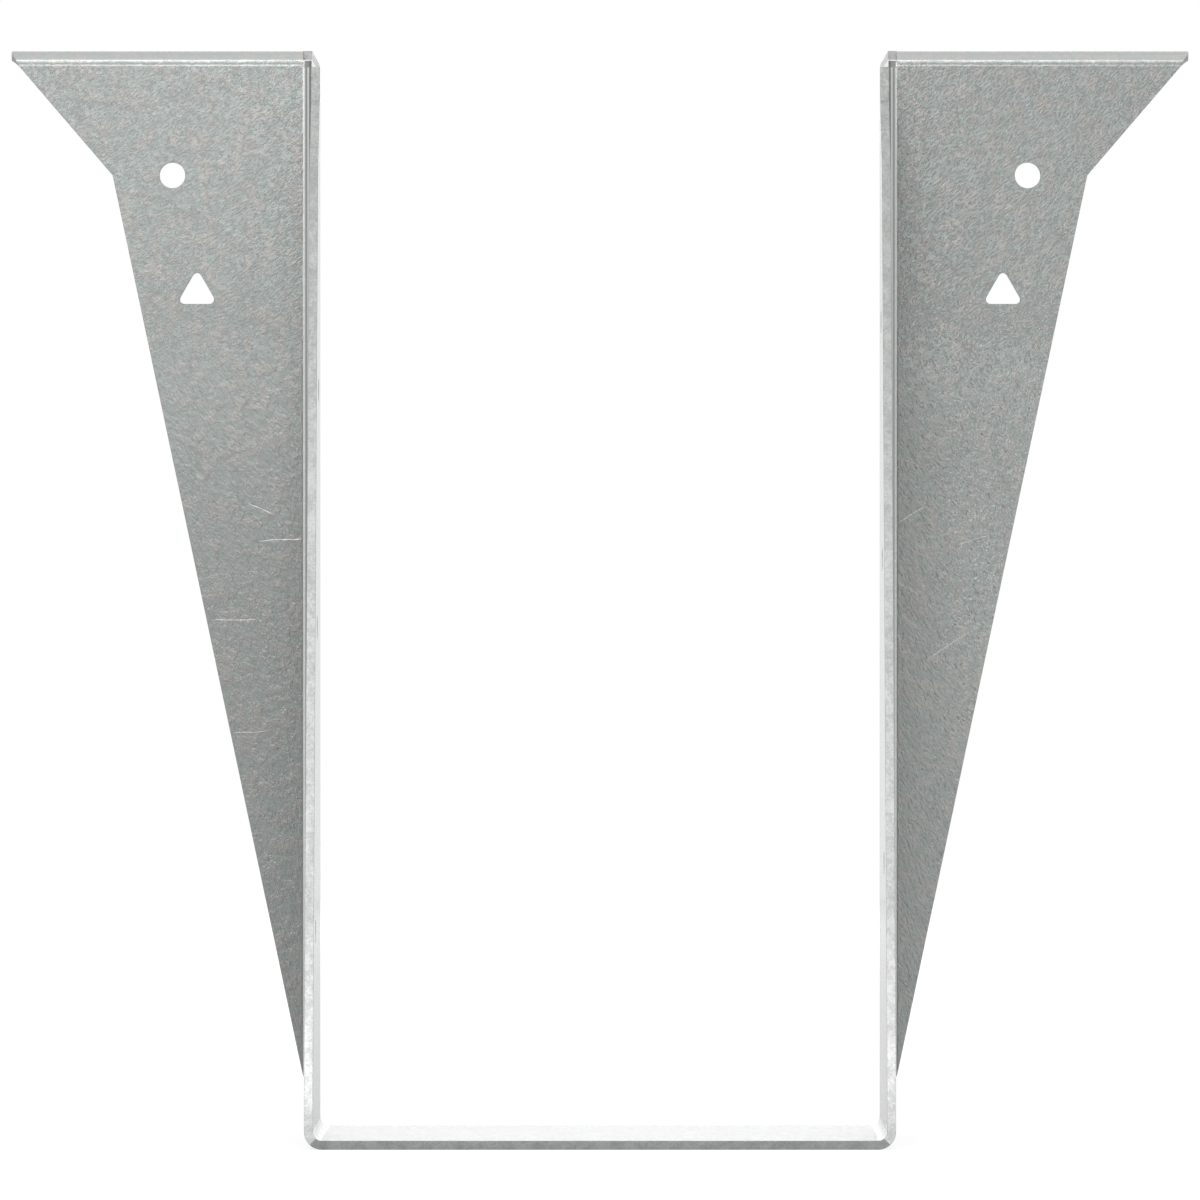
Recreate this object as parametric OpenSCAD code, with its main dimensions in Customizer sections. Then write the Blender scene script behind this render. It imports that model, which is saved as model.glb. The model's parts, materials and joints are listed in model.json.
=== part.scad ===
// Top-flange joist hanger, folded from one blank of galvanised sheet steel.
// X runs along the header, -Y points along the joist, and Z is up. The back of
// the face flanges, which lies on the header, is Y = 0. The seat's underside is Z = 0.
// The right half is drawn once, and mirrored where the two halves are the same.

/* [Pocket for the joist] */
// Clear width between the side walls
pocket_w = 120.65; // [80:0.05:200]
// Height from the top of the seat to the top of the top flanges
hanger_h = 232; // [200:0.5:400]
// Reach of the seat in front of the header
seat_depth = 63.5; // [55:0.5:100]

/* [Sheet and bends] */
// Thickness of the steel sheet
sheet_t = 1.9; // [1.2:0.1:2.7]
// Inside radius of the bends between the seat and the side walls
seat_bend_r = 1.9; // [1:0.1:5]
// Inside radius of the upright bends between the side walls and the face flanges
side_bend_r = 1.9; // [1:0.1:3]
// Inside radius of the bends between the face flanges and the top flanges
top_bend_r = 1.6; // [1:0.1:3]

/* [Side walls] */
// Distance of the side walls' top edge below the top surface
side_top_drop = 3.9; // [3.5:0.1:8]
// Reach of the narrow neck at the top of the side walls
neck_reach = 8.4; // [7:0.1:14]
// Reach of the side walls at their shoulder
shoulder_reach = 22.5; // [16:0.5:40]
// Distance of the side walls' shoulder below the top surface
shoulder_drop = 27; // [24:0.5:45]
// Distance of the neck's foot below the top surface
neck_drop = 11; // [9:0.5:20]
// Height at which the side walls reach the full depth of the seat
side_foot_h = 11; // [8:0.5:40]

/* [Face flanges] */
// Width of the face flange at its outer corner, from the side wall's outer face
flange_shoulder_w = 43; // [36:0.5:60]
// Distance of that corner below the top surface
flange_shoulder_drop = 27; // [24:0.5:50]
// Width of the face flange where its top bend begins, from the side wall's outer face
flange_bend_w = 63.2; // [60:0.1:110]
// Distance from the top surface to where the slanted edge meets the square end
flange_end_drop = 2.2; // [1.5:0.1:3]
// Height of the face flange's lower tip above the underside of the seat
tip_h = 12.5; // [8:0.5:60]
// Gap between the upper end of the upright bend and the top flange
relief_gap = 0.4; // [0.2:0.1:1]

/* [Top flanges] */
// Width of each top flange, from the side wall's outer face
flange_w = 64.9; // [61:0.1:110]
// Reach of the top flanges over the header
top_depth = 63.5; // [45:0.5:90]
// Radius of the top flanges' free corners
top_corner_r = 2; // [0.5:0.5:8]

/* [Nail holes in the face flanges] */
// Diameter of the round holes
face_hole_d = 5.55; // [4:0.05:7]
// Distance of the round holes from the side wall's outer face
face_hole_in = 30.1; // [10:0.1:34]
// Distance of the round holes below the top surface
face_hole_drop = 27; // [20:0.5:36]
// Width of the three-cornered holes
tri_hole_w = 7.4; // [5:0.1:9]
// Radius of their corners
tri_hole_r = 1; // [0.6:0.1:1.4]
// Distance of the three-cornered holes from the side wall's outer face
tri_hole_in = 24.8; // [10:0.1:28]
// Distance of their centre below the top surface
tri_hole_drop = 52.2; // [44:0.5:64]

/* [Nail holes in the top flanges] */
// Diameter of the holes
top_hole_d = 5.55; // [4:0.05:7]
// Distance of the inner pair from the flange's inner end
top_pair_in = 17.8; // [8:0.1:28]
// Distance of the pair's front hole behind the header's face
top_pair_y = 18; // [12:0.5:22]
// Distance between the two holes of the pair
top_pair_pitch = 28; // [16:0.5:32]
// Distance of the outer hole from the flange's inner end
top_outer_in = 45.8; // [36:0.1:52]
// Distance of the outer hole behind the header's face
top_outer_y = 32; // [20:0.5:40]

/* [Nail holes in the side walls] */
// Diameter of the holes
joist_hole_d = 5.3; // [4:0.05:7]
// Distance of the holes behind the sloping front edge
joist_hole_inset = 14; // [8:0.5:16]
// Height of the lowest hole in the left side wall
joist_hole_h = 45; // [25:0.5:55]
// Step from the lowest hole to the middle one
joist_lower_step = 64.5; // [20:0.5:70]
// Step from the middle hole to the top one
joist_upper_step = 50.8; // [20:0.5:52]
// How much higher each hole is in the right side wall than in the left one
joist_hole_stagger = 14.5; // [0:0.5:16]

/* [Hidden] */

steel = [0.66, 0.68, 0.68];
bore_fn = 64;
bend_fn = 96;
corner_steps = 6;
// How far a cut runs past the sheet, and a bend runs on inside the flat sheet beside it
cut_slack = 1;
bend_lap = 1;

// Faces of the side walls, and the outside radii of the bends
side_in_x = pocket_w / 2;
side_out_x = side_in_x + sheet_t;
seat_bend_out = seat_bend_r + sheet_t;
side_bend_out = side_bend_r + sheet_t;
top_bend_out = top_bend_r + sheet_t;
// Where each flat sheet begins beyond its bend
face_in_x = side_in_x + side_bend_out;
back_edge_y = -side_bend_out;
top_z = hanger_h + sheet_t;
face_top_z = top_z - top_bend_out;
bend_top_z = top_z - sheet_t - relief_gap;
side_top_z = top_z - side_top_drop;
shoulder_z = top_z - shoulder_drop;
flange_end_x = side_out_x + flange_w;

// How far the side walls reach at height z, on their long sloping edge
function side_reach(z) =
    seat_depth - (seat_depth - shoulder_reach) * (z - side_foot_h) / (shoulder_z - side_foot_h);

// Points of an arc about a centre
function arc(centre, r, from, to) =
    [for (i = [0:corner_steps])
        let (a = from + (to - from) * i / corner_steps)
            [centre[0] + r * cos(a), centre[1] + r * sin(a)]];

// Equilateral triangle with round corners, apex up, centred on its middle
function round_triangle(w, r) =
    let (centre_r = (w - 2 * r) / sqrt(3))
        [for (corner = [90, 210, 330])
            each arc([centre_r * cos(corner), centre_r * sin(corner)], r, corner - 60, corner + 60)];

// Stands a flat drawing up in the XZ plane, with its thickness behind Y = front_y
module upright(front_y, thickness)
    translate([0, front_y + thickness, 0]) rotate([90, 0, 0]) linear_extrude(thickness) children();

// Stands a flat drawing up in the YZ plane, with its thickness along X
module sideways(x, thickness)
    translate([x, 0, 0]) rotate([90, 0, 90]) linear_extrude(thickness) children();

// Square with one corner at the origin, and that corner rounded
module round_square(size, r)
    intersection() {
        square(size);
        union() {
            translate([r, 0]) square(size);
            translate([0, r]) square(size);
            translate([r, r]) circle(r = r, $fn = bend_fn);
        }
    }

// Section of a bend with its outer corner at the origin, and its legs along +X and -Y
module bend_section(inside_r) {
    size = inside_r + sheet_t + bend_lap;
    mirror([0, 1])
        difference() {
            round_square(size, inside_r + sheet_t);
            translate([sheet_t, sheet_t]) round_square(size, inside_r);
        }
}

// A block with its two lower corners rounded, open upwards
module u_form(half_w, floor_z, r) {
    translate([-half_w, floor_z + r]) square([2 * half_w, top_z]);
    translate([r - half_w, floor_z]) square([2 * (half_w - r), r + cut_slack]);
    for (s = [-1, 1])
        translate([s * (half_w - r), floor_z + r]) circle(r = r, $fn = bend_fn);
}

// Outline of a side wall, seen from the side
module side_outline()
    polygon([
        [back_edge_y, 0],
        [-seat_depth, 0],
        [-seat_depth, side_foot_h],
        [-shoulder_reach, shoulder_z],
        [-neck_reach, top_z - neck_drop],
        [-neck_reach, side_top_z],
        [back_edge_y, side_top_z]
    ]);

// Three nail holes through one side wall, in a row behind its sloping edge
module joist_holes(x, lift)
    for (rise = [0, joist_lower_step, joist_lower_step + joist_upper_step]) {
        z = joist_hole_h + lift + rise;
        translate([x - cut_slack, joist_hole_inset - side_reach(z), z])
            rotate([0, 90, 0])
                cylinder(h = sheet_t + 2 * cut_slack, d = joist_hole_d, $fn = bore_fn);
    }

// Seat and both side walls
module stirrup()
    intersection() {
        upright(-seat_depth, seat_depth + back_edge_y)
            difference() {
                u_form(side_out_x, 0, seat_bend_out);
                u_form(side_in_x, sheet_t, seat_bend_r);
            }
        sideways(-side_out_x, 2 * side_out_x) side_outline();
    }

// Front outline of the right flange: upright bend, face and top bend
module flange_outline()
    polygon([
        [side_in_x, tip_h - side_bend_out],
        [face_in_x, tip_h],
        [side_out_x + flange_shoulder_w, top_z - flange_shoulder_drop],
        [side_out_x + flange_bend_w, face_top_z],
        [flange_end_x, top_z - flange_end_drop],
        [flange_end_x, top_z],
        [side_in_x, top_z]
    ]);

// Upright bend that joins the right side wall to its face flange
module side_bend() {
    linear_extrude(side_top_z) translate([side_in_x, 0]) bend_section(side_bend_r);
    // The half next to the face flange stands a little higher
    linear_extrude(bend_top_z)
        intersection() {
            translate([side_in_x, 0]) bend_section(side_bend_r);
            translate([side_out_x, back_edge_y]) square([face_in_x - side_out_x, side_bend_out]);
        }
}

// Flat face flange, with its round and its three-cornered nail hole
module face_flange()
    difference() {
        upright(-sheet_t, sheet_t)
            difference() {
                translate([face_in_x, 0]) square([flange_end_x - face_in_x, face_top_z]);
                translate([side_out_x + tri_hole_in, top_z - tri_hole_drop])
                    polygon(round_triangle(tri_hole_w, tri_hole_r));
            }
        translate([side_out_x + face_hole_in, cut_slack, top_z - face_hole_drop])
            rotate([90, 0, 0])
                cylinder(h = sheet_t + 2 * cut_slack, d = face_hole_d, $fn = bore_fn);
    }

// Bend that carries the face flange over the top of the header
module top_bend()
    sideways(face_in_x, flange_end_x - face_in_x)
        translate([-sheet_t, top_z]) bend_section(top_bend_r);

// Flat top flange with three nail holes
module top_flange()
    difference() {
        translate([side_out_x, top_bend_r, top_z - sheet_t]) linear_extrude(sheet_t)
            top_plate(flange_end_x - side_out_x, top_depth - top_bend_r, top_corner_r);
        for (hole = [
            [top_pair_in, top_pair_y],
            [top_pair_in, top_pair_y + top_pair_pitch],
            [top_outer_in, top_outer_y]
        ])
            translate([side_out_x + hole[0], hole[1], top_z - sheet_t - cut_slack])
                cylinder(h = sheet_t + 2 * cut_slack, d = top_hole_d, $fn = bore_fn);
    }

// Rectangle with its two far corners rounded
module top_plate(w, d, r) {
    square([w, d - r]);
    translate([r, 0]) square([w - 2 * r, d]);
    for (x = [r, w - r])
        translate([x, d - r]) circle(r = r, $fn = bore_fn);
}

// Everything of the right half that lies outside its side wall
module flange() {
    intersection() {
        union() {
            side_bend();
            face_flange();
            top_bend();
        }
        upright(back_edge_y - bend_lap, top_bend_r - back_edge_y + 2 * bend_lap) flange_outline();
    }
    top_flange();
}

// The whole folded sheet
module hanger()
    color(steel)
        difference() {
            union() {
                stirrup();
                flange();
                mirror([1, 0, 0]) flange();
            }
            joist_holes(-side_out_x, 0);
            joist_holes(side_in_x, joist_hole_stagger);
        }

hanger();
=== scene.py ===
import json
import math

import bmesh
import bpy
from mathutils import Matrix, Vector


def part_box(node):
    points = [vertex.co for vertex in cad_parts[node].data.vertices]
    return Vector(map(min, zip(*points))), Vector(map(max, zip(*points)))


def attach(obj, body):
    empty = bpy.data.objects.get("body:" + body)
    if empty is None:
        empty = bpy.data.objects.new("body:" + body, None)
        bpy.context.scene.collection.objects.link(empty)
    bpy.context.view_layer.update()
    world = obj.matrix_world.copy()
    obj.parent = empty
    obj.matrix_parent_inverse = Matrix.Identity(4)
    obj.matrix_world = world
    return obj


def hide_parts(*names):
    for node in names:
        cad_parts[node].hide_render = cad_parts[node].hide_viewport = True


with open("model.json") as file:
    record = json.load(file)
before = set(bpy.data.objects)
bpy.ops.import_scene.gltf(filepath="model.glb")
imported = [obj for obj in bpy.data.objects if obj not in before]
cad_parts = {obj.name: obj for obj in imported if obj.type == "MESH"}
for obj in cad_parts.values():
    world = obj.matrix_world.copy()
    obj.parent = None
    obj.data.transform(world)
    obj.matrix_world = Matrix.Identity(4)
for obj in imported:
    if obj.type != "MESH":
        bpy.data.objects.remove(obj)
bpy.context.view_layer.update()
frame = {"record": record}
bpy.ops.object.select_all(action="DESELECT")

# ---- Sizes, in metres -------------------------------------------------------

MOUNTS = {mount["name"]: mount for mount in frame["record"]["mounts"]}
SHEET_LOW, SHEET_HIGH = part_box("hanger")

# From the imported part
SHEET_T = MOUNTS["joist_seat"]["pos_m"][2]
WALL_OUT = MOUNTS["joist_nails_right"]["pos_m"][0]
WALL_IN = WALL_OUT - SHEET_T
FLANGE_END = SHEET_HIGH.x
FRONT = SHEET_LOW.y
BACK = SHEET_HIGH.y
TOP = SHEET_HIGH.z

# Inside radii of the bends
SEAT_BEND = 0.0019
SIDE_BEND = 0.0019
TOP_BEND = 0.0016
BEND_STEPS = 12

# Side walls: reach in front of the header, and heights below the top surface
WALL_TOP = TOP - 0.0039
NECK_REACH = 0.0084
NECK_FOOT = TOP - 0.011
SHOULDER_REACH = 0.0225
SHOULDER = TOP - 0.027
WALL_FOOT = 0.011

# Face flanges, with widths from the wall's outer face
FLANGE_SHOULDER = WALL_OUT + 0.043
FLANGE_AT_BEND = WALL_OUT + 0.0632
TIP = 0.0125
RELIEF_GAP = 0.0004
# Turn of the top bend at which the slanted edge reaches the square end
END_TURN = math.radians(52.5)
TOP_CORNER = 0.002

# Where each flat begins beyond its bend
BEND_OUT = SIDE_BEND + SHEET_T
FLANGE_IN = WALL_IN + BEND_OUT
BACK_EDGE = -BEND_OUT
BEND_FOOT = TIP - BEND_OUT
BEND_TOP = TOP - SHEET_T - RELIEF_GAP
FACE_TOP = TOP - TOP_BEND - SHEET_T

# Holes
HOLE_SIDES = 64
TRI_X = WALL_OUT + 0.0248
TRI_Z = TOP - 0.0522
TRI_W = 0.0074
TRI_R = 0.001
JOIST_FIRST = 0.045
JOIST_STEPS = (0.0, 0.0645, 0.1153)
JOIST_STAGGER = 0.0145
JOIST_INSET = 0.014

# Edges: how far they are broken, and the angles from which they count as sharp
EDGE_ROUND = 0.0001
EDGE_ANGLE = math.radians(35)
SHADE_ANGLE = math.radians(50)
# The relief notch, whose small edges stay sharp
NOTCH = Vector((WALL_OUT, BACK_EDGE / 2, FACE_TOP + TOP_BEND / 2))
NOTCH_CLEAR = 0.0055

# Places closer than this count as the same
NEAR = 2e-6
# Snap distance of a cut, much finer than that
CUT_NEAR = 1e-7
# How far the trim of the wall tops reaches past the walls' outer faces
TRIM_SIDE = 2e-5

# Zinc colours
COOL_ZINC = (0.335, 0.36, 0.352, 1)
WARM_ZINC = (0.373, 0.368, 0.355, 1)
SCRATCH_ZINC = (0.8, 0.8, 0.78, 1)
# Pale zinc of the press lines on the bends, partly a painted highlight
LINE_ZINC_PAINTED_HIGHLIGHT = (0.85, 0.86, 0.845, 1)
# Sheared edges: painted shade on the neck, painted light growing down the walls to the foot, and darker
# on the seat
NECK_EDGE_PAINTED_SHADE = (0.43, 0.44, 0.435, 1)
WALL_EDGE = (0.55, 0.56, 0.555, 1)
FOOT_EDGE_PAINTED_LIGHT = (0.72, 0.73, 0.72, 1)
SEAT_EDGE = (0.33, 0.345, 0.34, 1)
# The clear film that keeps new zinc bright
FILM = 0.8
FILM_ROUGHNESS = 0.12

# Zinc relief. The strokes lean one way high up and the other way lower down: lean in degrees and width.
GRAIN_DEPTH = 0.00011
UPPER_STROKES = (42, 0.0004)
LOWER_STROKES = (-60, 0.00052)
UPPER_RELIEF = 0.95
LOWER_RELIEF = 1.8
STROKES_MEET = (0.14, 0.19)
STROKE_STRETCH = 2.3
SCRATCH_DRIFT = 0.0008
# How softly the look of a bend ends, and how much of the press line with its painted highlight shows
# along the top bend
BEND_SOFTNESS = 0.0004
TOP_LINE_SHARE = 0.2

# Studio
FLOOR_SIZE = 3.0
CAMERA_PLACE = (0, -2.25, 0.126)
CAMERA_LENS = 312.33
CAMERA_TILT = math.radians(0.275)
WORLD_LEVEL = 0.57
CEILING_LEVEL = 1.15
# The floor's paint, its darker paint for the camera, and the white that camera and metal see added
FLOOR_PAINT = (0.6, 0.6, 0.6, 1)
SEEN_PAINT = (0.3, 0.3, 0.3, 1)
FLOOR_WHITE = 0.8
MIRRORED_SHARE = 0.4


# ---- Modelling helpers ------------------------------------------------------

def edit(obj):
    bpy.ops.object.select_all(action="DESELECT")
    obj.select_set(True)
    bpy.context.view_layer.objects.active = obj
    bpy.ops.object.mode_set(mode="EDIT")
    bpy.ops.mesh.select_mode(type="EDGE")


def leave():
    bpy.ops.object.mode_set(mode="OBJECT")


def pick(mode, test):
    """Selects, in edit mode, the vertices, edges or faces whose corners pass the test."""
    bpy.ops.mesh.select_mode(type=mode)
    bpy.ops.mesh.select_all(action="DESELECT")
    mesh = bpy.context.active_object.data
    bm = bmesh.from_edit_mesh(mesh)
    items = {"VERT": bm.verts, "EDGE": bm.edges, "FACE": bm.faces}[mode]
    for item in items:
        corners = [item.co] if mode == "VERT" else [v.co for v in item.verts]
        if test(corners):
            item.select = True
    bm.select_flush_mode()
    bmesh.update_edit_mesh(mesh)


def middle(corners):
    return sum(corners, Vector()) / len(corners)


def on(corners, axis, value):
    """True where all the corners lie in one plane across the axis."""
    return all(abs(c["xyz".index(axis)] - value) < NEAR for c in corners)


def slide(x=0.0, y=0.0, z=0.0):
    bpy.ops.transform.translate(value=(x, y, z))


def pull(x=0.0, y=0.0, z=0.0):
    """Draws new sheet out of the selected edges."""
    bpy.ops.mesh.extrude_region_move(TRANSFORM_OT_translate={"value": (x, y, z)})


def bend(centre, axis):
    """Turns the selected edges through a quarter circle, leaving sheet behind them."""
    bpy.ops.mesh.spin(steps=BEND_STEPS, angle=math.pi / 2, center=centre, axis=axis)


def cut(test, point, normal):
    """Cuts the faces that pass the test with a plane."""
    pick("FACE", test)
    bpy.ops.mesh.bisect(plane_co=point, plane_no=normal, threshold=CUT_NEAR)


def trim(test, point, normal):
    """Cuts faces with a plane, and takes away what lies on the side of its normal."""
    cut(test, point, normal)
    pick("FACE", lambda c: test(c) and (middle(c) - Vector(point)).dot(normal) > 0)
    bpy.ops.mesh.delete(type="FACE")


def slant(a, b, axis):
    """Normal of the plane that holds the line from a to b and runs along the axis."""
    return (Vector(b) - Vector(a)).cross(Vector(axis)).normalized()


def apply_modifier(obj, name, kind, **settings):
    modifier = obj.modifiers.new(name, kind)
    for key, value in settings.items():
        setattr(modifier, key, value)
    bpy.context.view_layer.objects.active = obj
    bpy.ops.object.modifier_apply(modifier=modifier.name)


# ---- Materials --------------------------------------------------------------

class Nodes:
    """Adds linked nodes to one node tree."""

    def __init__(self, tree):
        self.tree = tree

    def add(self, kind, inputs=None, **settings):
        node = self.tree.nodes.new(kind)
        for name, value in settings.items():
            setattr(node, name, value)
        for name, value in (inputs or {}).items():
            self.set(node.inputs[name], value)
        return node

    def set(self, socket, value):
        """Links another node's output to the socket, or writes a plain value on it."""
        if isinstance(value, bpy.types.NodeSocket):
            self.tree.links.new(value, socket)
        else:
            socket.default_value = value

    def math(self, operation, a, b=0.0, c=0.0):
        return self.add("ShaderNodeMath", {0: a, 1: b, 2: c}, operation=operation).outputs[0]

    def vector(self, operation, a, b):
        return self.add("ShaderNodeVectorMath", {0: a, 1: b}, operation=operation).outputs["Vector"]

    def parts(self, vector):
        return self.add("ShaderNodeSeparateXYZ", {0: vector}).outputs

    def ramp(self, value, low, high, to_low=0.0, to_high=1.0):
        """Takes low to to_low and high to to_high, with a soft start and end."""
        node = self.add("ShaderNodeMapRange", interpolation_type="SMOOTHSTEP", inputs={
            "Value": value, "From Min": low, "From Max": high, "To Min": to_low, "To Max": to_high})
        return node.outputs["Result"]

    def mix(self, share, a, b, blend="MIX"):
        node = self.add("ShaderNodeMix", data_type="RGBA", blend_type=blend)
        self.set(node.inputs[0], share)
        self.set(node.inputs[6], a)
        self.set(node.inputs[7], b)
        return node.outputs[2]

    def tint(self, colour, shade):
        """The colour times one number, which makes it darker or paler."""
        grey = self.add("ShaderNodeCombineColor", {0: shade, 1: shade, 2: shade}).outputs[0]
        return self.mix(1.0, colour, grey, blend="MULTIPLY")

    def noise(self, place, size, detail=2.0, roughness=0.5, distortion=0.0):
        """Noise whose patches are about the given size across."""
        node = self.add("ShaderNodeTexNoise", {
            "Vector": place, "Scale": 1 / size, "Detail": detail, "Roughness": roughness,
            "Distortion": distortion})
        return node.outputs

    def bump(self, height, depth):
        node = self.add("ShaderNodeBump", {"Height": height, "Distance": depth, "Strength": 1.0})
        return node.outputs["Normal"]


def new_group(name, outputs):
    """A shader node group fed with a place; gives its nodes, that place and its output node."""
    tree = bpy.data.node_groups.new(name, "ShaderNodeTree")
    tree.interface.new_socket(name="Place", in_out="INPUT", socket_type="NodeSocketVector")
    for socket in outputs:
        tree.interface.new_socket(name=socket, in_out="OUTPUT", socket_type="NodeSocketFloat")
    nodes = Nodes(tree)
    return nodes, nodes.add("NodeGroupInput").outputs["Place"], nodes.add("NodeGroupOutput").inputs


def zinc_mottle():
    """Flecks of warmer zinc with crisp edges, and soft patches of lighter and darker."""
    nodes, place, out = new_group("zinc_mottle", ["Warmth", "Shade"])
    cloud = nodes.noise(place, 0.0028, detail=4.0, roughness=0.62, distortion=0.2)["Fac"]
    nodes.set(out["Warmth"], nodes.ramp(cloud, 0.49, 0.58))
    fleck = nodes.noise(place, 0.0012, detail=2.0, roughness=0.65)["Fac"]
    nodes.set(out["Shade"], nodes.ramp(fleck, 0.25, 0.75))
    return nodes.tree


def zinc_grain():
    """The fine brushed and scaly relief of hot-dipped zinc, which grows coarser towards the right."""
    nodes, place, out = new_group("zinc_grain", ["Height"])

    def strokes(lean, width):
        leaning = nodes.add("ShaderNodeMapping", {
            "Vector": place, "Rotation": (0, -math.radians(lean), 0),
            "Scale": (STROKE_STRETCH, 1, 1)}, vector_type="TEXTURE").outputs["Vector"]
        return nodes.noise(leaning, width, detail=2.0, roughness=0.65)["Fac"]

    parts = nodes.parts(place)
    higher = nodes.ramp(parts["Z"], *STROKES_MEET)
    lower = nodes.math("SUBTRACT", 1.0, higher)
    higher = nodes.math("MULTIPLY", higher, UPPER_RELIEF)
    lower = nodes.math("MULTIPLY", lower, LOWER_RELIEF)
    mixed = nodes.math("MULTIPLY", strokes(*UPPER_STROKES), higher)
    mixed = nodes.math("MULTIPLY_ADD", strokes(*LOWER_STROKES), lower, mixed)
    scales = nodes.ramp(mixed, 0.5, 0.6)
    height = nodes.math("MULTIPLY_ADD", scales, 0.3, mixed)
    coarseness = nodes.ramp(parts["X"], -0.04, 0.06, 0.65, 1.6)
    nodes.set(out["Height"], nodes.math("MULTIPLY", height, coarseness))
    return nodes.tree


def bends():
    """Masks of the stretched zinc on the bends, and of bright press lines there, partly painted
    highlight.
    """
    nodes, place, out = new_group("bends", ["Mask", "Line"])
    parts = nodes.parts(place)
    side = nodes.math("ABSOLUTE", parts["X"])
    soft = BEND_SOFTNESS
    top = nodes.math("MULTIPLY", nodes.ramp(parts["Z"], FACE_TOP + soft, FACE_TOP + 3 * soft),
                     nodes.ramp(parts["Y"], TOP_BEND + soft, TOP_BEND - soft))
    upright = nodes.math("MULTIPLY", nodes.ramp(side, FLANGE_IN + soft, FLANGE_IN - soft),
                         nodes.ramp(parts["Y"], BACK_EDGE - soft, BACK_EDGE + soft))
    seat_flat = WALL_IN - SEAT_BEND
    wall_flat = SHEET_T + SEAT_BEND
    seat = nodes.math("MULTIPLY", nodes.ramp(side, seat_flat - soft, seat_flat + soft),
                      nodes.ramp(parts["Z"], wall_flat + soft, wall_flat - soft))
    both = nodes.math("MAXIMUM", top, upright)
    nodes.set(out["Mask"], nodes.math("MAXIMUM", both, seat))

    def line(value, at, half_width):
        distance = nodes.math("ABSOLUTE", nodes.math("SUBTRACT", value, at))
        return nodes.ramp(distance, half_width, half_width / 3)

    # Press lines with painted highlights; the second upright line is a painted reflection inside the
    # bend
    top_line_and_highlight = line(parts["Z"], FACE_TOP + 0.0002, 0.00028)
    upright_lines_and_reflection = nodes.math("MAXIMUM", line(side, FLANGE_IN - 0.0002, 0.0004),
                               line(side, FLANGE_IN - 0.00115, 0.0003))
    outside = nodes.ramp(parts["Y"], -SHEET_T / 4, -SHEET_T / 2)
    below = nodes.ramp(parts["Z"], FACE_TOP, FACE_TOP - soft)
    beside = nodes.math("MULTIPLY", nodes.ramp(side, FLANGE_IN - soft, FLANGE_IN), TOP_LINE_SHARE)
    lines = nodes.math("MAXIMUM", nodes.math("MULTIPLY", top_line_and_highlight, beside),
                       nodes.math("MULTIPLY", upright_lines_and_reflection, below))
    nodes.set(out["Line"], nodes.math("MULTIPLY", lines, outside))
    return nodes.tree


# Handling marks on the face flanges: x and z of the middle, turn in degrees, half length and
# half width, with the lengths in millimetres
MM = 0.001
SCRATCHES = (
    (-68.5, 128.6, 2, 5.2, 0.15),
    (-78.7, 111.3, 1, 5.4, 0.12),
    (-72.9, 135.4, -25, 3.4, 0.11),
    (-75.0, 87.1, 3, 4.2, 0.09),
    (-92.5, 208.0, 12, 3.6, 0.09),
    (67.5, 134.0, 32, 3.7, 0.14),
    (81.1, 128.6, 16, 4.0, 0.11),
    (82.1, 123.4, 14, 1.6, 0.09),
    (75.9, 106.0, 33, 6.4, 0.12),
    (67.7, 117.6, -33, 4.4, 0.07),
)


def handling_marks():
    """A mask of the thin bright scratches on the front of the face flanges."""
    nodes, place, out = new_group("handling_marks", ["Mask"])
    wander = nodes.noise(place, 0.004, detail=2.0)["Color"]
    drift = nodes.vector("MULTIPLY", wander, (SCRATCH_DRIFT, SCRATCH_DRIFT, SCRATCH_DRIFT))
    wandering = nodes.vector("ADD", place, drift)
    mask = 0.0
    for x, z, turn, half_length, half_width in SCRATCHES:
        local = nodes.add("ShaderNodeMapping", {
            "Vector": wandering, "Location": (x * MM, 0, z * MM),
            "Rotation": (0, -math.radians(turn), 0)}, vector_type="TEXTURE").outputs["Vector"]
        parts = nodes.parts(local)
        across = nodes.math("ABSOLUTE", parts["Z"])
        along = nodes.math("ABSOLUTE", parts["X"])
        mark = nodes.math("MULTIPLY", nodes.ramp(across, half_width * MM, 0.0),
                          nodes.ramp(along, half_length * MM, half_length * MM / 1.7))
        mask = nodes.math("MAXIMUM", mark, mask)
    front = nodes.ramp(nodes.parts(place)["Y"], -SHEET_T / 4, -SHEET_T / 2)
    nodes.set(out["Mask"], nodes.math("MULTIPLY", mask, front))
    return nodes.tree


def new_material(name):
    material = bpy.data.materials.new(name)
    material.use_nodes = True
    nodes = Nodes(material.node_tree)
    return material, nodes, material.node_tree.nodes["Principled BSDF"].inputs


def placed(nodes, tree, place):
    """A node group in a material, fed with the place on the object."""
    return nodes.add("ShaderNodeGroup", {"Place": place}, node_tree=tree).outputs


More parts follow.
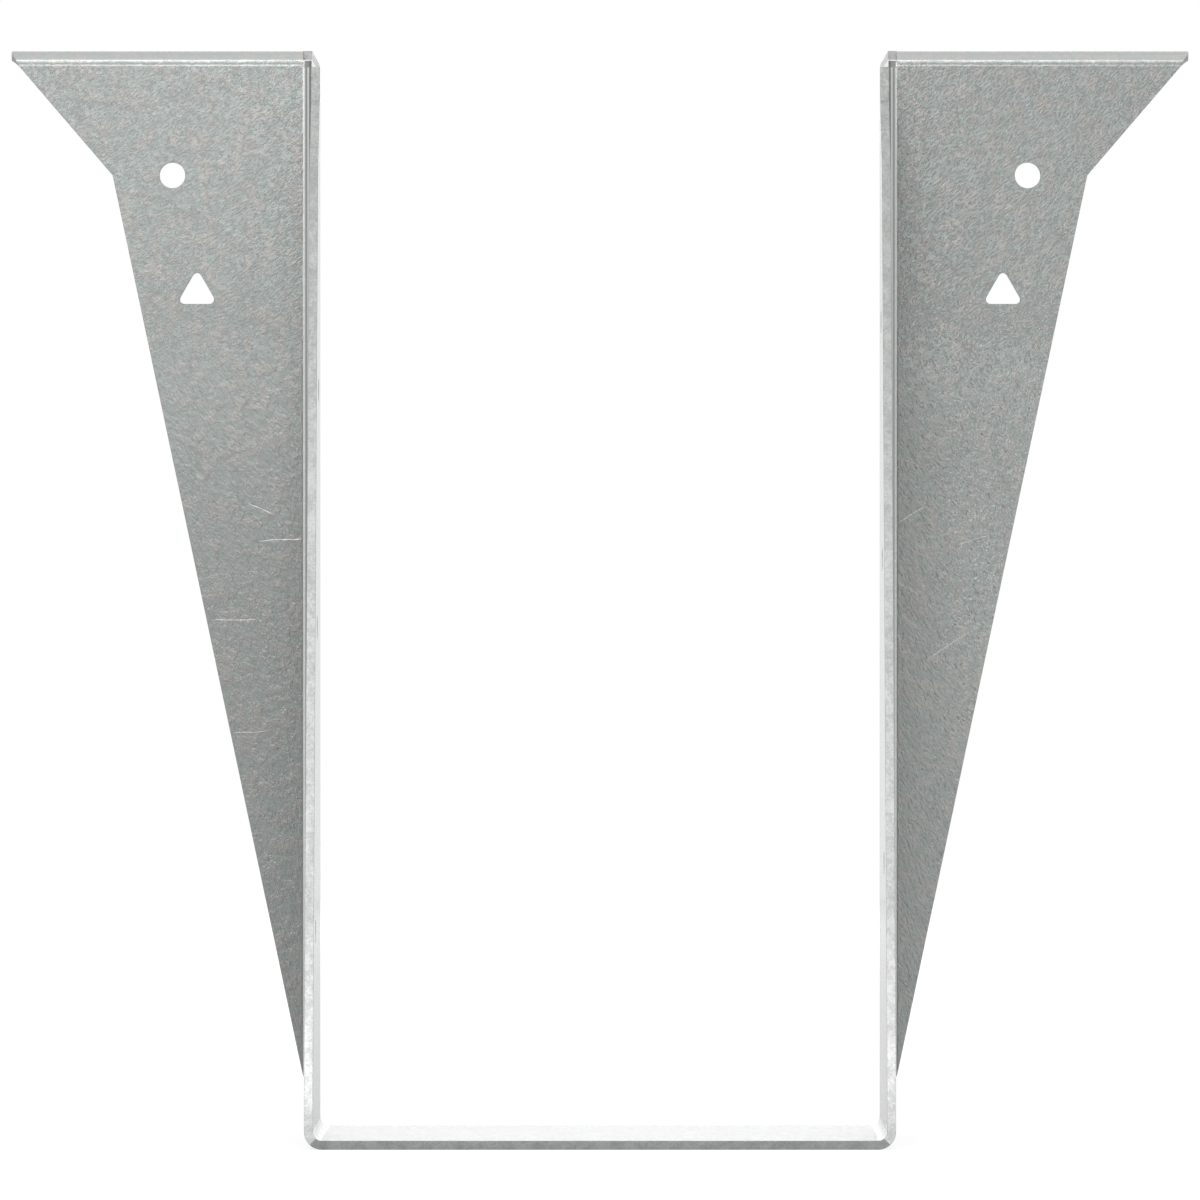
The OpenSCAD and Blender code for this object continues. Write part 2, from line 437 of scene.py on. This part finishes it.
def zinc_sheet():
    """The rolled faces: mottled zinc with grain, press lines and painted highlights on the bends,
    painted light and shade lower down, and a few scratches.
    """
    material, nodes, shader = new_material("galvanised_sheet")
    place = nodes.add("ShaderNodeTexCoord").outputs["Object"]
    patches = placed(nodes, zinc_mottle(), place)
    relief = placed(nodes, zinc_grain(), place)["Height"]
    folds = placed(nodes, bends(), place)
    stretched = folds["Mask"]
    scratch = placed(nodes, handling_marks(), place)["Mask"]
    shade = nodes.ramp(patches["Shade"], 0.0, 1.0, 0.96, 1.04)
    # Lower down, painted shade darkens the zinc towards the left and painted light brightens it towards
    # the right
    parts = nodes.parts(place)
    painted_light_and_shade = nodes.ramp(parts["X"], -0.06, 0.06, -0.14, 0.16)
    shade = nodes.math("MULTIPLY_ADD", nodes.ramp(parts["Z"], 0.2, 0.1), painted_light_and_shade, shade)
    colour = nodes.tint(nodes.mix(patches["Warmth"], COOL_ZINC, WARM_ZINC), shade)
    # The bends a little paler, then the press lines with their painted highlights
    colour = nodes.mix(nodes.math("MULTIPLY", stretched, 0.18), colour, LINE_ZINC_PAINTED_HIGHLIGHT)
    colour = nodes.mix(folds["Line"], colour, LINE_ZINC_PAINTED_HIGHLIGHT)
    colour = nodes.mix(scratch, colour, SCRATCH_ZINC)
    nodes.set(shader["Base Color"], colour)
    nodes.set(shader["Metallic"], nodes.math("MULTIPLY_ADD", folds["Line"], -0.6, 0.9))
    shader["Coat Weight"].default_value = FILM
    shader["Coat Roughness"].default_value = FILM_ROUGHNESS
    rough = nodes.math("MULTIPLY_ADD", patches["Shade"], -0.08, 0.44)
    rough = nodes.math("MULTIPLY_ADD", stretched, -0.16, rough)
    nodes.set(shader["Roughness"], rough)
    calm = nodes.math("SUBTRACT", 1.0, nodes.math("MAXIMUM", stretched, folds["Line"]))
    height = nodes.math("MULTIPLY_ADD", patches["Warmth"], 0.25, relief)
    nodes.set(shader["Normal"], nodes.bump(nodes.math("MULTIPLY", height, calm), GRAIN_DEPTH))
    return material


def sheared_edge():
    """Bare edges with zinc smeared over them, painted light brightest at the walls' foot, painted shade
    on the neck, darker on the seat.
    """
    material, nodes, shader = new_material("sheared_edge")
    place = nodes.add("ShaderNodeTexCoord").outputs["Object"]
    parts = nodes.parts(place)
    # Seat and wall meet on a line at 45 degrees through the seat bend
    inward = nodes.math("SUBTRACT", nodes.math("ABSOLUTE", parts["X"]), WALL_IN - SEAT_BEND)
    corner = SHEET_T + SEAT_BEND
    seat = nodes.ramp(nodes.math("ADD", inward, parts["Z"]), corner, corner - 0.0003)
    # Painted shade on the neck and painted light growing towards the walls' foot
    colour = nodes.mix(nodes.ramp(parts["Z"], 0.215, 0.03), NECK_EDGE_PAINTED_SHADE, WALL_EDGE)
    colour = nodes.mix(nodes.ramp(parts["Z"], 0.055, 0.012), colour, FOOT_EDGE_PAINTED_LIGHT)
    colour = nodes.mix(seat, colour, SEAT_EDGE)
    speck = nodes.noise(place, 0.0005, detail=2.0, roughness=0.7)["Fac"]
    smear = nodes.noise(place, 0.003, detail=3.0, roughness=0.6)["Fac"]
    shade = nodes.ramp(nodes.math("ADD", speck, smear), 0.7, 1.3, 0.82, 1.18)
    nodes.set(shader["Base Color"], nodes.tint(colour, shade))
    shader["Metallic"].default_value = 0.7
    nodes.set(shader["Roughness"], nodes.math("MULTIPLY_ADD", speck, -0.1, 0.52))
    nodes.set(shader["Normal"], nodes.bump(speck, 0.00002))
    return material


ZINC = zinc_sheet()
SHEARED = sheared_edge()


# ---- The folded sheet -------------------------------------------------------

def wall_reach(z):
    """How far the side walls stand in front of the header at height z."""
    share = (z - WALL_FOOT) / (SHOULDER - WALL_FOOT)
    return -FRONT + (SHOULDER_REACH + FRONT) * share


def fold_seat_and_wall():
    """From half the seat, round the seat bend and up the right wall."""
    seat_flat = WALL_IN - SEAT_BEND
    pick("EDGE", lambda c: on(c, "x", seat_flat))
    bend((seat_flat, 0, SHEET_T + SEAT_BEND), (0, 1, 0))
    pick("EDGE", lambda c: on(c, "x", WALL_IN))
    pull(z=BEND_TOP - SHEET_T - SEAT_BEND)


def cut_wall_outline():
    """Slopes the wall's front edge: a long slope, a short one, and an upright neck."""
    corners = [
        (0, FRONT, WALL_FOOT),
        (0, -SHOULDER_REACH, SHOULDER),
        (0, -NECK_REACH, NECK_FOOT),
        (0, -NECK_REACH, BEND_TOP),
    ]
    for z in (BEND_FOOT, WALL_FOOT, SHOULDER, NECK_FOOT):
        cut(lambda c: on(c, "x", WALL_IN), (0, 0, z), (0, 0, 1))
    for low, high in zip(corners, corners[1:]):
        trim(lambda c: on(c, "x", WALL_IN) and low[2] < middle(c).z < high[2],
             low, slant(high, low, (1, 0, 0)))


def fold_face_flange():
    """Out of the wall's back edge, round the upright bend, to the face flange."""
    pick("EDGE", lambda c: on(c, "x", WALL_IN) and on(c, "y", BACK_EDGE) and middle(c).z > BEND_FOOT)
    bend((FLANGE_IN, BACK_EDGE, 0), (0, 0, 1))
    low = (WALL_IN, 0, BEND_FOOT)
    high = (FLANGE_IN, 0, TIP)
    trim(lambda c: middle(c).x > WALL_IN + NEAR, low, slant(high, low, (0, 1, 0)))
    pick("EDGE", lambda c: on(c, "x", FLANGE_IN))
    pull(x=FLANGE_END - FLANGE_IN)


def cut_flange_outline():
    """Tapers the face flange below its shoulder, and flares it above."""
    corners = [(FLANGE_IN, 0, TIP), (FLANGE_SHOULDER, 0, SHOULDER), (FLANGE_AT_BEND, 0, FACE_TOP)]
    cut(lambda c: on(c, "y", 0), corners[1], (0, 0, 1))
    trim(lambda c: on(c, "y", 0), corners[2], Vector((0, 0, 1)))
    for low, high in zip(corners, corners[1:]):
        trim(lambda c: on(c, "y", 0) and low[2] < middle(c).z < high[2],
             low, slant(low, high, (0, -1, 0)))


def fold_top_flange():
    """Over the top bend, whose slanted end is wrapped round it, to the top flange."""
    pick("EDGE", lambda c: on(c, "y", 0) and on(c, "z", FACE_TOP))
    bend((0, TOP_BEND, FACE_TOP), (1, 0, 0))
    for step in range(1, BEND_STEPS + 1):
        turn = math.pi / 2 * step / BEND_STEPS
        height = FACE_TOP + TOP_BEND * math.sin(turn)
        depth = TOP_BEND * (1 - math.cos(turn))
        place = Vector((FLANGE_AT_BEND, depth, height))
        pick("VERT", lambda c: (c[0] - place).length < NEAR)
        slide(x=(FLANGE_END - FLANGE_AT_BEND) * min(1, turn / END_TURN))
    pick("EDGE", lambda c: on(c, "y", TOP_BEND) and on(c, "z", TOP - SHEET_T))
    pull(y=BACK - TOP_BEND)
    pick("EDGE", lambda c: on(c, "x", FLANGE_IN) and middle(c).y > TOP_BEND + NEAR)
    pull(x=WALL_OUT - FLANGE_IN)
    pick("EDGE", lambda c: on(c, "x", FLANGE_IN) and middle(c).y > TOP_BEND + NEAR)
    bpy.ops.mesh.dissolve_edges()
    pick("VERT", lambda c: on(c, "y", BACK))
    bpy.ops.mesh.bevel(offset=TOP_CORNER, segments=6, affect="VERTICES")


def folded_sheet():
    """The whole sheet with its thickness, before its holes."""
    seat_flat = WALL_IN - SEAT_BEND
    place = (seat_flat / 2, (FRONT + BACK_EDGE) / 2, SHEET_T)
    bpy.ops.mesh.primitive_plane_add(size=1, location=place)
    sheet = bpy.context.active_object
    sheet.name = "hanger_sheet"
    bpy.ops.transform.resize(value=(seat_flat, BACK_EDGE - FRONT, 1))
    bpy.ops.object.transform_apply(location=True, rotation=True, scale=True)
    edit(sheet)
    fold_seat_and_wall()
    cut_wall_outline()
    fold_face_flange()
    cut_flange_outline()
    fold_top_flange()
    bpy.ops.mesh.select_all(action="SELECT")
    bpy.ops.mesh.remove_doubles(threshold=NEAR)
    bpy.ops.mesh.dissolve_limited(angle_limit=math.radians(0.2))
    bpy.ops.mesh.select_all(action="SELECT")
    bpy.ops.mesh.normals_make_consistent(inside=False)
    bpy.ops.mesh.flip_normals()
    leave()
    sheet.data.materials.append(ZINC)
    sheet.data.materials.append(SHEARED)
    apply_modifier(sheet, "other_half", "MIRROR", use_clip=True, merge_threshold=NEAR)
    apply_modifier(sheet, "thickness", "SOLIDIFY", thickness=SHEET_T, offset=-1,
                   use_even_offset=True, use_quality_normals=True, material_offset_rim=1)
    return sheet


# ---- Holes and trims --------------------------------------------------------

ALONG_Z = (0, 0, 0)
ALONG_Y = (math.pi / 2, 0, 0)
ALONG_X = (0, math.pi / 2, 0)


def take_away(sheet, cutter, merge=False):
    """Cuts the sheet with a closed shape, and throws the shape away."""
    cutter.data.materials.append(SHEARED)
    apply_modifier(sheet, "cut", "BOOLEAN", operation="DIFFERENCE", solver="EXACT",
                   use_self=merge, material_mode="TRANSFER", object=cutter)
    bpy.data.objects.remove(cutter, do_unlink=True)


def drill(sheet, place, radius, turn):
    """A round hole; turn points the drill along Z, Y or X."""
    bpy.ops.mesh.primitive_cylinder_add(
        vertices=HOLE_SIDES, radius=radius, depth=3 * SHEET_T, location=place, rotation=turn)
    take_away(sheet, bpy.context.active_object)


def punch_triangle(sheet, x):
    """The three-cornered hole, apex up, with round corners."""
    sharp_radius = (TRI_W - 2 * TRI_R) / math.sqrt(3) + 2 * TRI_R
    bpy.ops.mesh.primitive_cylinder_add(
        vertices=3, radius=sharp_radius, depth=3 * SHEET_T, location=(x, -SHEET_T / 2, TRI_Z),
        rotation=ALONG_Y)
    punch = bpy.context.active_object
    bpy.ops.object.transform_apply(location=True, rotation=True, scale=True)
    edit(punch)
    pick("EDGE", lambda c: abs(c[0].y - c[1].y) > SHEET_T)
    bpy.ops.mesh.bevel(offset=TRI_R * math.sqrt(3), segments=6, profile=4 / 9)
    leave()
    take_away(sheet, punch)


def cut_holes(sheet):
    for side in (-1, 1):
        punch_triangle(sheet, side * TRI_X)
    drilled = {"face_nails": ALONG_Y, "top_nails_inner": ALONG_Z, "top_nails_outer": ALONG_Z}
    for name, turn in drilled.items():
        mount = MOUNTS[name]
        centre = Vector(mount["pos_m"])
        radius = mount["dims"]["hole_r_mm"] / 1000
        across = mount["dims"]["spacing_x_mm"] / 2000
        along = mount["dims"].get("spacing_y_mm", 0) / 2000
        for x in (-across, across):
            # A mount with a single row has one place here
            for y in {-along, along}:
                drill(sheet, centre + Vector((x, y, 0)), radius, turn)
    radius = MOUNTS["joist_nails_left"]["dims"]["hole_r_mm"] / 1000
    for side, lift in ((-1, 0), (1, JOIST_STAGGER)):
        for step in JOIST_STEPS:
            z = JOIST_FIRST + lift + step
            place = (side * (WALL_IN + WALL_OUT) / 2, JOIST_INSET - wall_reach(z), z)
            drill(sheet, place, radius, ALONG_X)


def trim_wall_tops(sheet):
    """Frees the side walls from the upright bends above their top edges."""
    low = Vector((-WALL_OUT - TRIM_SIDE, FRONT - SHEET_T, WALL_TOP))
    high = Vector((WALL_OUT + TRIM_SIDE, SHEET_T / 4, TOP + SHEET_T))
    bpy.ops.mesh.primitive_cube_add(size=1, location=(low + high) / 2)
    bpy.ops.transform.resize(value=high - low)
    take_away(sheet, bpy.context.active_object, merge=True)


def flat_corner(place):
    """The same place in the right half."""
    return Vector((abs(place.x), place.y, place.z))


def finished_sheet():
    """The sheet with its holes, its slightly rounded edges and its shading."""
    sheet = folded_sheet()
    trim_wall_tops(sheet)
    cut_holes(sheet)
    edit(sheet)
    pick("EDGE", lambda c: (flat_corner(middle(c)) - NOTCH).length > NOTCH_CLEAR)
    bpy.ops.mesh.hide(unselected=True)
    bpy.ops.mesh.select_all(action="DESELECT")
    bpy.ops.mesh.edges_select_sharp(sharpness=EDGE_ANGLE)
    bpy.ops.transform.edge_bevelweight(value=1)
    bpy.ops.mesh.reveal(select=False)
    leave()
    apply_modifier(sheet, "round_edges", "BEVEL", width=EDGE_ROUND, segments=2,
                   limit_method="WEIGHT", use_clamp_overlap=False, loop_slide=False)
    bpy.ops.object.shade_smooth_by_angle(angle=SHADE_ANGLE)
    apply_modifier(sheet, "flat_normals", "WEIGHTED_NORMAL", keep_sharp=True)
    return sheet


# ---- The object -------------------------------------------------------------

hanger = finished_sheet()
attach(hanger, "root")
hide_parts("hanger")

# ---- Floor, light and camera ------------------------------------------------

def white_floor():
    """Matt white that the camera and the metal see as white, with its shadows."""
    material, nodes, shader = new_material("white_floor")
    path = nodes.add("ShaderNodeLightPath").outputs
    seen = nodes.math("MAXIMUM", path["Is Camera Ray"], path["Is Transmission Ray"])
    seen = nodes.math("MULTIPLY_ADD", path["Is Glossy Ray"], MIRRORED_SHARE, seen)
    nodes.set(shader["Base Color"], nodes.mix(path["Is Camera Ray"], FLOOR_PAINT, SEEN_PAINT))
    shader["Roughness"].default_value = 0.9
    shader["Specular IOR Level"].default_value = 0
    shader["Emission Color"].default_value = (1, 1, 1, 1)
    nodes.set(shader["Emission Strength"], nodes.math("MULTIPLY", seen, FLOOR_WHITE))
    return material


bpy.ops.mesh.primitive_plane_add(size=FLOOR_SIZE, location=(0, 0, 0))
floor = bpy.context.active_object
floor.name = "floor"
floor.data.materials.append(white_floor())


def softbox(name, place, target, width, height, power):
    """A rectangular lamp that faces its target, and is out of the camera's sight."""
    bpy.ops.object.light_add(type="AREA", location=place)
    lamp = bpy.context.active_object
    lamp.name = name
    lamp.data.shape = "RECTANGLE"
    lamp.data.size = width
    lamp.data.size_y = height
    lamp.data.energy = power
    lamp.visible_camera = False
    lamp.rotation_euler = (Vector(target) - Vector(place)).to_track_quat("-Z", "Y").to_euler()


MIDDLE = (0, 0, TOP / 2)
softbox("front_lamp", (-0.1, -0.9, 0.4), MIDDLE, 0.5, 0.1, 1.45)
softbox("top_lamp", (-0.2, -0.9, 1.15), MIDDLE, 0.9, 0.12, 1.3)
softbox("back_lamp", (0, 1.4, 0.42), MIDDLE, 0.8, 0.2, 1.9)


def white_world():
    """Even light, with white behind the object for the camera and for mirror-like metal."""
    world = bpy.context.scene.world or bpy.data.worlds.new("studio")
    bpy.context.scene.world = world
    world.use_nodes = True
    nodes = Nodes(world.node_tree)
    direction = nodes.add("ShaderNodeTexCoord").outputs["Generated"]
    behind = nodes.ramp(nodes.parts(direction)["Y"], -0.1, 0.5)
    above = nodes.ramp(nodes.parts(direction)["Z"], 0.5, 0.9, WORLD_LEVEL, CEILING_LEVEL)
    path = nodes.add("ShaderNodeLightPath").outputs
    mirrored = nodes.math("MULTIPLY", path["Is Glossy Ray"], behind)
    seen = nodes.math("MAXIMUM", path["Is Camera Ray"], path["Is Transmission Ray"])
    seen = nodes.math("MAXIMUM", seen, mirrored)
    rest = nodes.math("MULTIPLY", nodes.math("SUBTRACT", 1.0, seen), above)
    level = nodes.math("ADD", seen, rest)
    background = world.node_tree.nodes["Background"]
    background.inputs["Color"].default_value = (1, 1, 1, 1)
    nodes.set(background.inputs["Strength"], level)


white_world()

bpy.ops.object.camera_add(location=CAMERA_PLACE, rotation=(math.pi / 2 - CAMERA_TILT, 0, 0))
camera = bpy.context.active_object
camera.name = "camera"
camera.data.lens = CAMERA_LENS
camera.data.sensor_width = 36
camera.data.clip_start = 0.01
camera.data.clip_end = 20
bpy.context.scene.camera = camera
bpy.context.scene.view_settings.view_transform = "Standard"
